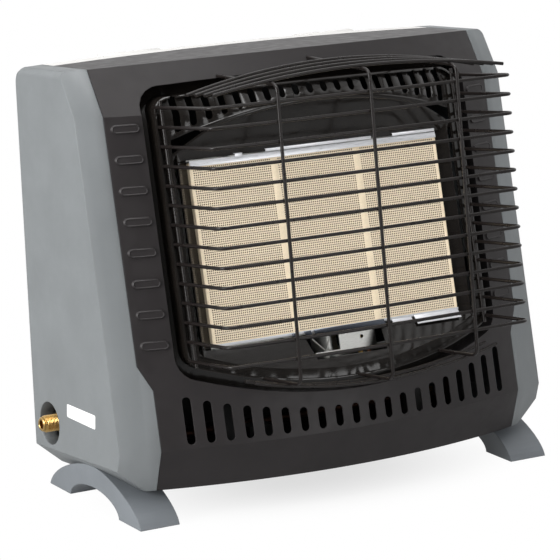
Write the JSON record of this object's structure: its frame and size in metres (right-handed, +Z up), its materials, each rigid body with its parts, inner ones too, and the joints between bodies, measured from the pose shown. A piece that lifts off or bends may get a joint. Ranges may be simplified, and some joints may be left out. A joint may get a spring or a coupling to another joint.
{
  "type": "portable propane heater",
  "caption": "Portable radiant gas heater: bowed front behind a wire guard, ceramic plaques, grey end caps, arched feet, side gas inlet and push-and-turn knob.",
  "frame": {"origin": "on the floor under the middle of the whole heater, side to side and front to back", "axes": "+X to the right as seen from the front, across the width; +Y to the back; +Z up"},
  "size_m": [0.468, 0.3014, 0.4035],
  "materials": {
    "panel_black": "fine-textured powder coat",
    "cap_grey": "fine-grained moulding",
    "cover_grey": "satin powder coat",
    "tray_steel": "satin",
    "foot_grey": "satin moulding",
    "pad_rubber": "matt",
    "screw_steel": "blackened",
    "bezel_black": "gloss enamel",
    "reflector_black": "high-gloss enamel",
    "aluminised_steel": "mill finish",
    "bright_steel": "polished",
    "plaque_ceramic": "perforated, unglazed",
    "brass": "machined",
    "copper": "drawn tube",
    "valve_alloy": "die cast",
    "spring_steel": "drawn wire",
    "knob_black": "satin moulding",
    "button_red": "satin moulding",
    "spark_ceramic": "glazed",
    "guard_black": "satin enamel",
    "grip_black": "fine-grained moulding"
  },
  "bodies": {
    "heater": {"front_panel": "panel_black", "left_end_cap": "cap_grey", "right_end_cap": "cap_grey", "rear_cover": "cover_grey", "base_tray": "tray_steel", "case_screws": "screw_steel", "left_foot": "foot_grey", "right_foot": "foot_grey", "foot_pads": "pad_rubber", "foot_screws": "screw_steel", "window_bezel": "bezel_black", "reflector_top": "reflector_black", "reflector_bottom": "reflector_black", "reflector_left": "reflector_black", "reflector_right": "reflector_black", "burner_box": "aluminised_steel", "plaque_left": "plaque_ceramic", "plaque_centre": "plaque_ceramic", "plaque_right": "plaque_ceramic", "plaque_frame": "bright_steel", "mixing_tube": "aluminised_steel", "gas_jet": "brass", "burner_brackets": "aluminised_steel", "pilot_bracket": "aluminised_steel", "pilot_burner": "brass", "spark_electrode": "spark_ceramic", "thermocouple": "copper", "inlet_bracket": "aluminised_steel", "inlet_fitting": "brass", "inlet_nut": "brass", "supply_pipe": "copper", "pipe_elbow": "brass", "valve_pipe": "copper", "gas_valve": "valve_alloy", "valve_spring": "spring_steel", "igniter_body": "knob_black", "burner_pipe": "copper", "tilt_switch": "knob_black", "guard_hoops": "guard_black", "guard_top_arcs": "guard_black", "guard_bottom_arcs": "guard_black", "guard_uprights": "guard_black", "guard_side_posts": "guard_black", "handle_brackets": "cover_grey", "handle_pins": "screw_steel"},
    "push_collar": {"spring_collar": "brass"},
    "knob": {"control_knob": "knob_black", "valve_spindle": "brass"},
    "ignition_button": {"igniter_button": "button_red"},
    "handle": {"carry_handle": "guard_black", "handle_grip": "grip_black"}
  },
  "joints": [
    {"name": "knob_push", "type": "slide", "parent": "heater", "child": "push_collar", "axis": [-1, 0, 0], "range_m": [0, 0.003], "stiffness_N_per_m": 1500, "springref_m": -0.002, "deforming": ["valve_spring"]},
    {"name": "knob_turn", "type": "hinge", "parent": "push_collar", "child": "knob", "pos_m": [0.225, 0.04805, 0.10972], "axis": [1, 0, 0], "range_deg": [0, 180]},
    {"name": "igniter_press", "type": "slide", "parent": "heater", "child": "ignition_button", "axis": [-1, 0, 0], "range_m": [0, 0.004], "stiffness_N_per_m": 2000, "springref_m": -0.002},
    {"name": "handle_swing", "type": "hinge", "parent": "heater", "child": "handle", "pos_m": [0, 0.14395, 0.37447], "axis": [1, 0, 0], "range_deg": [0, 165]}
  ]
}
